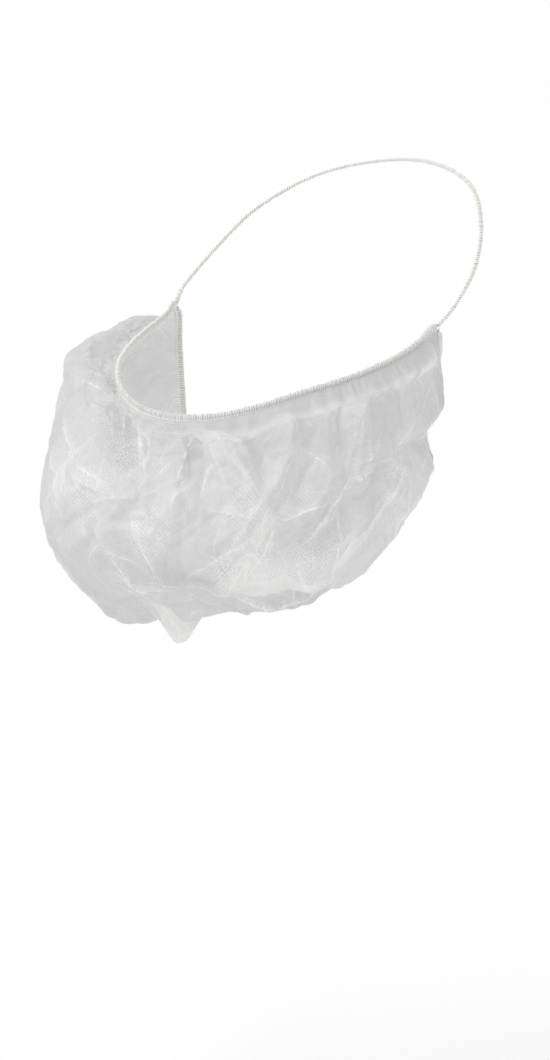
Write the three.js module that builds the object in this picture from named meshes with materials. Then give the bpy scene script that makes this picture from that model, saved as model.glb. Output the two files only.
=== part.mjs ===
// Disposable beard net, in the shape that it takes when it is worn.
// A thin nonwoven pouch hangs round the chin and jaw. Its edge is gathered on a rolled elastic hem,
// in two stretches: one over the face and one under the throat. They meet at the side tips, and a
// bare elastic loop runs on from there, up and round the back.
// Millimetres. The wearer looks along -Y and +Z is up. The origin is on the midline, in the middle
// of the ring that the face hem and the loop make, level with the side tips.

import * as THREE from "three";
import { mergeVertices } from "three/addons/utils/BufferGeometryUtils.js";

// Driving dimensions: the ring
const ringHalfBreadth = 70; // from the midline to a side tip
const ringFront = 91; // from the origin to the middle of the face hem
const ringBack = 98; // from the origin to the back of the loop
const faceHemDip = 30; // how far the middle of the face hem sits under the side tips
const loopRise = 66; // how far the back of the loop sits above the side tips
const tipAngle = 99; // degrees round from the front to a side tip

// Driving dimensions: the pouch
const pouchDepth = 122; // from the side tips down to the lowest cloth
const puff = 38; // how far the fullest cloth stands off the ring
const throatFront = 57; // from the origin to the throat hem, at the front
const throatDrop = 108; // how far the middle of the throat hem sits under the side tips
const throatEndAngle = 84; // degrees round to where the throat hem turns up to the tip
const wall = 1.0; // thickness of the pouch's wall
const foldDepth = 5; // the tallest crease
const foldSpread = 13; // half the width of a crease's foot
const gatherDepth = 1.7; // the tallest ruffle
const gatherReach = 0.3; // share of the way across the cloth at which the ruffles have faded out
const faceGathers = 25; // ruffles on the face hem
const throatGathers = 19; // ruffles on the throat hem

// Driving dimensions: the elastics
const faceHemRadius = 1.6;
const throatHemRadius = 1.5;
const loopRadius = 1.1;
const seatGap = 0.35; // clearance between pieces that touch

// How finely the pouch and the tubes are divided
const cellsAcross = 100;
const cellsDown = 20;
const hemSides = 6;
const loopSides = 8;

const degree = Math.PI / 180;

// The face hem from the front to a tip. angle: share of tipAngle; sink: share of faceHemDip.
const faceHemRows = [
  { angle: 0, sink: 0.95 },
  { angle: 0.11, sink: 0.91 },
  { angle: 0.22, sink: 0.79 },
  { angle: 0.38, sink: 0.57 },
  { angle: 0.56, sink: 0.39 },
  { angle: 0.78, sink: 0.17 },
  { angle: 1, sink: -0.1 },
];

// The throat hem from the front to where it turns up. angle: share of throatEndAngle; reach: share of
// throatFront; sink: share of throatDrop.
const throatRows = [
  { angle: 0, reach: 1, sink: 1 },
  { angle: 0.33, reach: 0.98, sink: 0.98 },
  { angle: 0.6, reach: 0.91, sink: 0.915 },
  { angle: 0.8, reach: 0.905, sink: 0.825 },
  { angle: 1, reach: 0.95, sink: 0.68 },
];

// The loop from a tip to the back. turn: share of the way round; reach: against the ring's own plan;
// rise: share of loopRise.
const loopRows = [
  { turn: 0.06, reach: 1.015, rise: 0.16 },
  { turn: 0.15, reach: 1.035, rise: 0.26 },
  { turn: 0.28, reach: 1.055, rise: 0.42 },
  { turn: 0.45, reach: 1.045, rise: 0.66 },
  { turn: 0.7, reach: 1.01, rise: 0.9 },
  { turn: 1, reach: 1, rise: 1 },
];

// The pouch's outline at stations from the right tip, across -1, over the front to the left tip, across 1.
// shoulderOut, shoulderUp, bellyOut: shares of puff from the face hem; bellySink, baseSink: shares of
// pouchDepth under the tips; baseReach: share of the ring's reach there.
const stationColumns = [
  "across",
  "shoulderOut",
  "shoulderUp",
  "bellyOut",
  "bellySink",
  "baseReach",
  "baseSink",
];
const stationRows = [
  [-1, 0, -0.4, -0.11, 0.24, 0.855, 0.43],
  [-0.9, 0.37, -0.06, 0.48, 0.39, 0.95, 0.69],
  [-0.75, 0.52, -0.12, 0.66, 0.51, 0.96, 0.8],
  [-0.58, 0.58, -0.12, 0.74, 0.6, 0.97, 0.9],
  [-0.38, 0.48, -0.1, 0.88, 0.62, 0.98, 0.97],
  [-0.18, 0.49, -0.11, 0.99, 0.61, 0.98, 0.97],
  [0, 0.49, -0.12, 1, 0.6, 0.96, 0.94],
  [0.2, 0.46, -0.13, 0.94, 0.59, 0.94, 0.91],
  [0.4, 0.42, -0.13, 0.8, 0.57, 0.93, 0.89],
  [0.6, 0.36, -0.12, 0.62, 0.51, 0.92, 0.82],
  [0.78, 0.3, -0.13, 0.42, 0.47, 0.92, 0.74],
  [0.91, 0.27, -0.16, 0.22, 0.42, 0.92, 0.65],
  [1, 0, -0.4, -0.11, 0.24, 0.855, 0.43],
].map((row) => Object.fromEntries(row.map((value, k) => [stationColumns[k], value])));

// Creases, each a straight crest on the laid-out cloth. across: -1 right tip to 1 left tip; down: 0 face
// hem to 1 throat hem; height: share of foldDepth, below 0 for a dent; width: share of foldSpread.
const creaseRows = [
  { fromAcross: 0.13, fromDown: 0.14, toAcross: 0.28, toDown: 0.42, height: 0.9, width: 1.1 },
  { fromAcross: 0.34, fromDown: 0.14, toAcross: 0.35, toDown: 0.33, height: 0.7, width: 0.8 },
  { fromAcross: 0.35, fromDown: 0.33, toAcross: 0.29, toDown: 0.43, height: 0.8, width: 0.8 },
  { fromAcross: 0.28, fromDown: 0.43, toAcross: 0.19, toDown: 0.62, height: 0.9, width: 1 },
  { fromAcross: 0.45, fromDown: 0.4, toAcross: 0.32, toDown: 0.54, height: 0.9, width: 0.9 },
  { fromAcross: 0.3, fromDown: 0.45, toAcross: 0.43, toDown: 0.44, height: 0.6, width: 0.7 },
  { fromAcross: 0.43, fromDown: 0.4, toAcross: 0.42, toDown: 0.66, height: 0.8, width: 0.8 },
  { fromAcross: 0.6, fromDown: 0.46, toAcross: 0.47, toDown: 0.54, height: 0.8, width: 0.9 },
  { fromAcross: 0.47, fromDown: 0.54, toAcross: 0.43, toDown: 0.68, height: 0.7, width: 0.8 },
  { fromAcross: 0.1, fromDown: 0.24, toAcross: 0.11, toDown: 0.42, height: 0.8, width: 0.9 },
  { fromAcross: 0.23, fromDown: 0.48, toAcross: 0.13, toDown: 0.57, height: 0.8, width: 0.8 },
  { fromAcross: 0.03, fromDown: 0.5, toAcross: 0.05, toDown: 0.6, height: 0.6, width: 0.7 },
  { fromAcross: -0.03, fromDown: 0.5, toAcross: -0.01, toDown: 0.61, height: 0.7, width: 0.8 },
  { fromAcross: -0.01, fromDown: 0.61, toAcross: 0.17, toDown: 0.6, height: 0.6, width: 0.8 },
  { fromAcross: -0.17, fromDown: 0.35, toAcross: -0.02, toDown: 0.4, height: 0.6, width: 0.8 },
  { fromAcross: -0.18, fromDown: 0.18, toAcross: -0.04, toDown: 0.3, height: 0.7, width: 0.8 },
  { fromAcross: -0.37, fromDown: 0.15, toAcross: -0.3, toDown: 0.05, height: 0.7, width: 0.9 },
  { fromAcross: 0.51, fromDown: 0.42, toAcross: 0.55, toDown: 0.28, height: 0.7, width: 0.8 },
  { fromAcross: 0.26, fromDown: 0.68, toAcross: 0.43, toDown: 0.71, height: 1, width: 0.8 },
  { fromAcross: 0, fromDown: 0.68, toAcross: 0.02, toDown: 0.78, height: 2, width: 0.9 },
  { fromAcross: -0.5, fromDown: 0.12, toAcross: -0.46, toDown: 0.36, height: 0.8, width: 1 },
  { fromAcross: -0.7, fromDown: 0.16, toAcross: -0.6, toDown: 0.5, height: 0.8, width: 1 },
  { fromAcross: -0.84, fromDown: 0.3, toAcross: -0.7, toDown: 0.66, height: 0.7, width: 0.9 },
  { fromAcross: -0.42, fromDown: 0.56, toAcross: -0.34, toDown: 0.78, height: 0.8, width: 0.9 },
  { fromAcross: 0.84, fromDown: 0.36, toAcross: 0.64, toDown: 0.7, height: 0.7, width: 0.9 },
  { fromAcross: 0.22, fromDown: 0.2, toAcross: 0.28, toDown: 0.32, height: -0.5, width: 0.9 },
  { fromAcross: 0.5, fromDown: 0.3, toAcross: 0.5, toDown: 0.38, height: -0.5, width: 0.8 },
  { fromAcross: 0.36, fromDown: 0.56, toAcross: 0.36, toDown: 0.66, height: -0.6, width: 0.8 },
  { fromAcross: 0.68, fromDown: 0.2, toAcross: 0.7, toDown: 0.36, height: -0.5, width: 0.9 },
  { fromAcross: 0.16, fromDown: 0.38, toAcross: 0.2, toDown: 0.46, height: -0.5, width: 0.8 },
  { fromAcross: -0.1, fromDown: 0.44, toAcross: -0.2, toDown: 0.5, height: -0.6, width: 0.9 },
  { fromAcross: -0.28, fromDown: 0.2, toAcross: -0.26, toDown: 0.34, height: -0.6, width: 0.9 },
  { fromAcross: -0.58, fromDown: 0.5, toAcross: -0.5, toDown: 0.66, height: -0.5, width: 1 },
  { fromAcross: 0.08, fromDown: 0.68, toAcross: 0.14, toDown: 0.78, height: -0.7, width: 0.9 },
  { fromAcross: -0.12, fromDown: 0.68, toAcross: -0.08, toDown: 0.78, height: -0.6, width: 0.9 },
];

// A smooth value of one column at a place between the rows.
function columnAt(rows, key, column, at) {
  let i = 0;
  while (i < rows.length - 2 && at > rows[i + 1][key]) i += 1;
  const before = rows[Math.max(i - 1, 0)];
  const low = rows[i];
  const high = rows[i + 1];
  const after = rows[Math.min(i + 2, rows.length - 1)];
  const span = high[key] - low[key];
  const t = THREE.MathUtils.clamp((at - low[key]) / span, 0, 1);
  const slopeLow = ((high[column] - before[column]) / (high[key] - before[key])) * span;
  const slopeHigh = ((after[column] - low[column]) / (after[key] - low[key])) * span;
  return (
    (2 * t ** 3 - 3 * t ** 2 + 1) * low[column] +
    (t ** 3 - 2 * t ** 2 + t) * slopeLow +
    (-2 * t ** 3 + 3 * t ** 2) * high[column] +
    (t ** 3 - t ** 2) * slopeHigh
  );
}

// A place from its angle round the origin, its reach from the midline's axis and its height.
function placeAt(angle, reach, height) {
  return new THREE.Vector3(
    reach * Math.sin(angle * degree),
    -reach * Math.cos(angle * degree),
    height,
  );
}

// The ring's plan is two half ellipses, a front one and a back one.
function ringReach(angle) {
  const long = Math.cos(angle * degree) > 0 ? ringFront : ringBack;
  return 1 / Math.hypot(Math.sin(angle * degree) / ringHalfBreadth, Math.cos(angle * degree) / long);
}

// The smooth pouch, before its folds. across: -1 to 1; down: 0 at the face hem to 1 at the throat hem.
function smoothPouch(across, down) {
  const share = Math.abs(across);
  const reach = ringReach(share * tipAngle);
  const hemHeight = -faceHemDip * columnAt(faceHemRows, "angle", "sink", share);
  const at = (column) => columnAt(stationRows, "across", column, across);
  const section = new THREE.SplineCurve([
    new THREE.Vector2(reach, hemHeight),
    new THREE.Vector2(reach + puff * at("shoulderOut"), hemHeight + puff * at("shoulderUp")),
    new THREE.Vector2(reach + puff * at("bellyOut"), -pouchDepth * at("bellySink")),
    new THREE.Vector2(reach * at("baseReach"), -pouchDepth * at("baseSink")),
    new THREE.Vector2(
      throatFront * columnAt(throatRows, "angle", "reach", share),
      -throatDrop * columnAt(throatRows, "angle", "sink", share),
    ),
  ]).getPoint(down);
  const angle = across * THREE.MathUtils.lerp(tipAngle, throatEndAngle, down ** 2);
  return placeAt(angle, section.x, section.y);
}

// The pouch's outward direction at a place on the smooth pouch.
function outwardAt(across, down) {
  const step = 0.01;
  const inside = THREE.MathUtils.clamp;
  const alongHem = smoothPouch(inside(across + step, -1, 1), inside(down, step, 1 - step)).sub(
    smoothPouch(inside(across - step, -1, 1), inside(down, step, 1 - step)),
  );
  const downCloth = smoothPouch(across, inside(down + step, 0, 1)).sub(
    smoothPouch(across, inside(down - step, 0, 1)),
  );
  return downCloth.cross(alongHem).normalize();
}

// The cloth's width and length, measured on the smooth pouch, so that creases keep their width in
// millimetres.
const clothHalfLength = 0.5 * lengthOf((t) => smoothPouch(2 * t - 1, 0.5));
const clothWidth = lengthOf((t) => smoothPouch(0, t));

function lengthOf(path) {
  const steps = 40;
  let sum = 0;
  for (let i = 0; i < steps; i += 1) sum += path(i / steps).distanceTo(path((i + 1) / steps));
  return sum;
}

// A crease is a straight crest with flat flanks. The tallest crest and the deepest dent win, so flanks
// meet in edges.
function creaseHeight(across, down) {
  let crest = 0;
  let dent = 0;
  for (const row of creaseRows) {
    const along = new THREE.Vector2(
      (row.toAcross - row.fromAcross) * clothHalfLength,
      (row.toDown - row.fromDown) * clothWidth,
    );
    const away = new THREE.Vector2(
      (across - row.fromAcross) * clothHalfLength,
      (down - row.fromDown) * clothWidth,
    );
    const t = THREE.MathUtils.clamp(away.dot(along) / along.lengthSq(), 0, 1);
    const distance = away.addScaledVector(along, -t).length();
    const height = row.height * Math.max(0, 1 - distance / (foldSpread * row.width));
    crest = Math.max(crest, height);
    dent = Math.min(dent, height);
  }
  return foldDepth * (crest + dent);
}

// Ruffles run square to each hem. They start at the hem, are fullest a little way in and then fade.
function ruffleHeight(across, down, count, fade) {
  const near = fade / gatherReach;
  const swell = near < 1 ? Math.sin(Math.PI * Math.sqrt(near)) : 0;
  const wave = Math.sin(Math.PI * (count * across + 0.9 * Math.sin(5.3 * across + 1.7)));
  const uneven = 0.65 + 0.35 * Math.sin(11 * across + 0.6);
  return gatherDepth * swell * wave * uneven;
}

// Folds fade out towards the hems, where the cloth is held.
function foldHeight(across, down) {
  const fromEdge = Math.min(1, 12 * down, 12 * (1 - down), 14 * (1 - Math.abs(across)));
  return (
    fromEdge *
    (creaseHeight(across, down) +
      ruffleHeight(across, down, faceGathers, down) +
      ruffleHeight(across, down, throatGathers, 1 - down))
  );
}

// The pouch's outer skin with its folds, its inner skin one wall further in, and the cells of one skin.
function pouchSkins() {
  const outer = [];
  for (let i = 0; i <= cellsAcross; i += 1) {
    for (let j = 0; j <= cellsDown; j += 1) {
      const across = (2 * i) / cellsAcross - 1;
      const down = j / cellsDown;
      outer.push(
        smoothPouch(across, down).addScaledVector(outwardAt(across, down), foldHeight(across, down)),
      );
    }
  }
  const cells = [];
  for (let i = 0; i < cellsAcross; i += 1) {
    for (let j = 0; j < cellsDown; j += 1) {
      const a = gridIndex(i, j);
      const b = gridIndex(i + 1, j);
      cells.push([a, a + 1, b + 1], [a, b + 1, b]);
    }
  }
  const skin = new THREE.BufferGeometry().setFromPoints(outer);
  skin.setIndex(cells.flat());
  skin.computeVertexNormals();
  const normals = skin.getAttribute("normal");
  const inner = outer.map((point, k) =>
    point.clone().addScaledVector(new THREE.Vector3().fromBufferAttribute(normals, k), -wall),
  );
  return { outer, inner, cells };
}

function gridIndex(i, j) {
  return i * (cellsDown + 1) + j;
}

// Both skins and the strip that joins them round the edge.
function pouchGeometry({ outer, inner, cells }) {
  const count = outer.length;
  const faces = [...cells, ...cells.map(([a, b, c]) => [a + count, c + count, b + count])];
  const edge = [];
  for (let j = 0; j < cellsDown; j += 1) edge.push(gridIndex(0, j));
  for (let i = 0; i < cellsAcross; i += 1) edge.push(gridIndex(i, cellsDown));
  for (let j = cellsDown; j > 0; j -= 1) edge.push(gridIndex(cellsAcross, j));
  for (let i = cellsAcross; i > 0; i -= 1) edge.push(gridIndex(i, 0));
  edge.forEach((a, k) => {
    const b = edge[(k + 1) % edge.length];
    faces.push([b, a, a + count], [b, a + count, b + count]);
  });
  const geometry = new THREE.BufferGeometry().setFromPoints([...outer, ...inner]);
  geometry.setIndex(faces.flat());
  geometry.computeVertexNormals();
  return geometry;
}

// Where a hem's middle line runs beside a place on the cloth's edge. stepI and stepJ lead into the cloth.
// The hem stands off square to the edge, in the cloth's own plane, by its radius and the seat gap.
function hemPoint({ outer, inner }, i, j, stepI, stepJ, radius) {
  const middle = (m, n) => {
    const k = gridIndex(
      THREE.MathUtils.clamp(m, 0, cellsAcross),
      THREE.MathUtils.clamp(n, 0, cellsDown),
    );
    return outer[k].clone().lerp(inner[k], 0.5);
  };
  const edge = middle(i, j);
  const away = edge.clone().sub(middle(i + stepI, j + stepJ));
  if (stepI === 0 || stepJ === 0) {
    const along = middle(i + stepJ, j + stepI).sub(middle(i - stepJ, j - stepI)).normalize();
    away.addScaledVector(along, -away.dot(along));
  }
  return edge.addScaledVector(away.normalize(), radius + seatGap);
}

// A round tube along a smooth line through the given points, with flat ends.
function tubeGeometry(points, radius, sides, steps) {
  const outline = new THREE.Shape();
  for (let k = 0; k < sides; k += 1) {
    const turn = (2 * Math.PI * k) / sides;
    if (k === 0) outline.moveTo(radius, 0);
    else outline.lineTo(radius * Math.cos(turn), radius * Math.sin(turn));
  }
  outline.closePath();
  const path = new THREE.CatmullRomCurve3(points, false, "centripetal");
  const tube = new THREE.ExtrudeGeometry(outline, { steps, extrudePath: path, bevelEnabled: false });
  tube.deleteAttribute("normal");
  tube.deleteAttribute("uv");
  const merged = mergeVertices(tube, 1e-4);
  merged.computeVertexNormals();
  return merged;
}

function faceHemPoints(skins) {
  const points = [];
  for (let i = 0; i <= cellsAcross; i += 1) {
    points.push(hemPoint(skins, i, 0, 0, 1, faceHemRadius));
  }
  return points;
}

// The throat hem starts a little under one tip, runs down the side, under the throat and up to the other
// tip. It swings a little wide of the cloth's two back corners.
function throatHemPoints(skins) {
  const wide = throatHemRadius * 1.4;
  const points = [];
  for (let j = 3; j < cellsDown; j += 1) {
    points.push(hemPoint(skins, 0, j, 1, 0, throatHemRadius));
  }
  points.push(hemPoint(skins, 0, cellsDown, 1, -1, wide));
  for (let i = 1; i < cellsAcross; i += 1) {
    points.push(hemPoint(skins, i, cellsDown, 0, -1, throatHemRadius));
  }
  points.push(hemPoint(skins, cellsAcross, cellsDown, -1, -1, wide));
  for (let j = cellsDown - 1; j >= 3; j -= 1) {
    points.push(hemPoint(skins, cellsAcross, j, -1, 0, throatHemRadius));
  }
  return points;
}

// The loop takes over where the face hem ends, one seat gap on.
function loopPoints(hem) {
  const last = hem.length - 1;
  const half = [];
  for (const row of loopRows) {
    const angle = THREE.MathUtils.lerp(tipAngle, 180, row.turn);
    half.push(placeAt(angle, ringReach(angle) * row.reach + loopRadius, loopRise * row.rise));
  }
  const runOn = hem[last].clone().sub(hem[last - 1]).setLength(seatGap);
  const left = hem[last].clone().add(runOn);
  const mirrored = half.slice(0, -1).reverse().map((p) => new THREE.Vector3(-p.x, p.y, p.z));
  const runBack = hem[0].clone().sub(hem[1]).setLength(seatGap);
  return [left, ...half, ...mirrored, hem[0].clone().add(runBack)];
}

const clothColour = { color: 0xe9eaea, roughness: 0.75, metalness: 0 };
const hemColour = { color: 0xf1efe9, roughness: 0.8, metalness: 0 };
const loopColour = { color: 0xe6e3d8, roughness: 0.7, metalness: 0 };

function namedMesh(name, geometry, look) {
  const mesh = new THREE.Mesh(geometry, new THREE.MeshStandardMaterial(look));
  mesh.name = name;
  return mesh;
}

const skins = pouchSkins();
const faceHem = faceHemPoints(skins);
const throatHem = throatHemPoints(skins);
const beardNet = new THREE.Group();
beardNet.add(
  namedMesh("net_pouch", pouchGeometry(skins), clothColour),
  namedMesh("face_hem", tubeGeometry(faceHem, faceHemRadius, hemSides, 84), hemColour),
  namedMesh("throat_hem", tubeGeometry(throatHem, throatHemRadius, hemSides, 112), hemColour),
  namedMesh("head_loop", tubeGeometry(loopPoints(faceHem), loopRadius, loopSides, 52), loopColour),
);

export default beardNet;
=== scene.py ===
import math

import bpy
import numpy as np
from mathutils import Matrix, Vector


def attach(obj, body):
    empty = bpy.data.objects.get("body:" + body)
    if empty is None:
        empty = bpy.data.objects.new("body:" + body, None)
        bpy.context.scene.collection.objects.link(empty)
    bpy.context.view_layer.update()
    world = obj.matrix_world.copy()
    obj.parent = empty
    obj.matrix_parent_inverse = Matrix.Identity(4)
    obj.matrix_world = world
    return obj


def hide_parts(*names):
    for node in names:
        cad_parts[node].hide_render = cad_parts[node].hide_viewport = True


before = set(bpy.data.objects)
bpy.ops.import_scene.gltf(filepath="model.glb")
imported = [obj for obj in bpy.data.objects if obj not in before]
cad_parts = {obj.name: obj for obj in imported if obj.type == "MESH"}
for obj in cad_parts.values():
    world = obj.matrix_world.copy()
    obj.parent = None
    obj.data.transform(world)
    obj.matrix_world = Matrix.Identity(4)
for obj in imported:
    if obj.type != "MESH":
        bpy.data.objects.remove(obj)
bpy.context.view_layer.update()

scene = bpy.context.scene
mm = 0.001

# Sizes of the net as it is worn, in millimetres and degrees, the same as in the CAD part.
ring = {"halfBreadth": 70, "front": 91, "back": 98, "hemDip": 30, "loopRise": 66, "tipAngle": 99}
pouch = {"depth": 122, "puff": 38, "throatFront": 57, "throatDrop": 108, "throatEndAngle": 84}
hemRadius = {"face": 1.6, "throat": 1.5, "loop": 1.1}
seatGap = 0.35
# The laid-out cloth: half its length along the hems, and its width.
netPiece = {"halfLength": 205, "width": 175}
# How far one unit of across and of down reaches on the worn pouch.
pouchSpan = {"across": 210, "down": 185}

# The face hem from the front to a tip, the throat hem from the front to where it turns up, and the
# loop from a tip to the back.
faceHemColumns = {
    "angle": [0, 0.11, 0.22, 0.38, 0.56, 0.78, 1],
    "sink": [0.95, 0.91, 0.79, 0.57, 0.39, 0.17, -0.1],
}
throatColumns = {
    "angle": [0, 0.33, 0.6, 0.8, 1],
    "reach": [1, 0.98, 0.91, 0.905, 0.95],
    "sink": [1, 0.98, 0.915, 0.825, 0.68],
}
loopColumns = {
    "turn": [0.06, 0.15, 0.28, 0.45, 0.7, 1],
    "reach": [1.015, 1.035, 1.055, 1.045, 1.01, 1],
    "rise": [0.16, 0.26, 0.42, 0.66, 0.9, 1],
}

# The pouch's outline at stations from the right tip (-1) over the front to the left tip (1).
stationColumns = {
    "across": [-1, -0.9, -0.75, -0.58, -0.38, -0.18, 0, 0.2, 0.4, 0.6, 0.78, 0.91, 1],
    "shoulderOut": [0, 0.37, 0.52, 0.58, 0.48, 0.49, 0.49, 0.46, 0.42, 0.36, 0.3, 0.27, 0],
    "shoulderUp": [-0.4, -0.06, -0.12, -0.12, -0.1, -0.11, -0.12, -0.13, -0.13, -0.12, -0.13, -0.16, -0.4],
    "bellyOut": [-0.11, 0.48, 0.66, 0.74, 0.88, 0.99, 1, 0.94, 0.8, 0.62, 0.42, 0.22, -0.11],
    "bellySink": [0.24, 0.39, 0.51, 0.6, 0.62, 0.61, 0.6, 0.59, 0.57, 0.51, 0.47, 0.42, 0.24],
    "baseReach": [0.855, 0.95, 0.96, 0.97, 0.98, 0.98, 0.96, 0.94, 0.93, 0.92, 0.92, 0.92, 0.855],
    "baseSink": [0.43, 0.69, 0.8, 0.9, 0.97, 0.97, 0.94, 0.91, 0.89, 0.82, 0.74, 0.65, 0.43],
}

# Broad folds, as straight crests on the laid-out cloth. across: -1 right tip to 1 left tip; down: 0 face
# hem to 1 throat hem; height in mm, below 0 for a dent; width: half the fold's foot in mm.
foldColumns = ("fromAcross", "fromDown", "toAcross", "toDown", "height", "width")
foldRows = [
    (0.13, 0.14, 0.28, 0.42, 3.6, 12),
    (0.34, 0.14, 0.35, 0.33, 3.0, 10),
    (0.35, 0.33, 0.29, 0.43, 3.4, 10),
    (0.28, 0.43, 0.19, 0.62, 4.0, 12),
    (0.45, 0.4, 0.32, 0.54, 4.0, 11),
    (0.3, 0.45, 0.43, 0.44, 2.4, 9),
    (0.43, 0.4, 0.42, 0.66, 3.2, 10),
    (0.6, 0.46, 0.47, 0.54, 3.6, 11),
    (0.47, 0.54, 0.43, 0.68, 3.0, 10),
    (0.1, 0.24, 0.11, 0.42, 3.4, 10),
    (0.23, 0.48, 0.13, 0.57, 3.4, 10),
    (0.03, 0.5, 0.05, 0.6, 2.6, 9),
    (-0.03, 0.5, -0.01, 0.61, 3.0, 10),
    (-0.01, 0.61, 0.17, 0.6, 2.6, 10),
    (-0.17, 0.35, -0.02, 0.4, 2.6, 10),
    (-0.18, 0.18, -0.04, 0.3, 3.0, 10),
    (-0.37, 0.15, -0.3, 0.05, 3.0, 11),
    (0.51, 0.42, 0.55, 0.28, 3.0, 10),
    (0.26, 0.68, 0.43, 0.71, 4.4, 10),
    (-0.01, 0.74, -0.006, 0.77, 3.4, 9.5),
    (-0.61, 0.15, -0.57, 0.22, 3.6, 12),
    (-0.45, 0.3, -0.36, 0.34, -1.6, 11),
    (-0.31, 0.58, -0.23, 0.7, -4.5, 12),
    (-0.7, 0.16, -0.6, 0.5, 3.4, 12),
    (-0.84, 0.3, -0.7, 0.66, 3.0, 11),
    (-0.42, 0.56, -0.34, 0.78, 3.4, 11),
    (0.84, 0.36, 0.64, 0.7, 3.0, 11),
    (0.22, 0.2, 0.28, 0.32, -2.4, 11),
    (0.5, 0.3, 0.5, 0.38, -2.4, 10),
    (0.36, 0.56, 0.36, 0.66, -3.0, 10),
    (0.68, 0.2, 0.7, 0.36, -2.4, 11),
    (0.16, 0.38, 0.2, 0.46, -2.4, 10),
    (-0.1, 0.44, -0.2, 0.5, -3.0, 11),
    (-0.28, 0.2, -0.26, 0.34, -3.0, 11),
    (-0.58, 0.5, -0.5, 0.66, -2.4, 12),
    (0.08, 0.68, 0.14, 0.78, -3.4, 11),
    (0.72, 0.4, 0.94, 0.425, -7.5, 12),
    (0.72, 0.6, 0.8, 0.62, -3.0, 9),
    (-0.12, 0.68, -0.08, 0.78, -3.0, 11),
]

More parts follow.
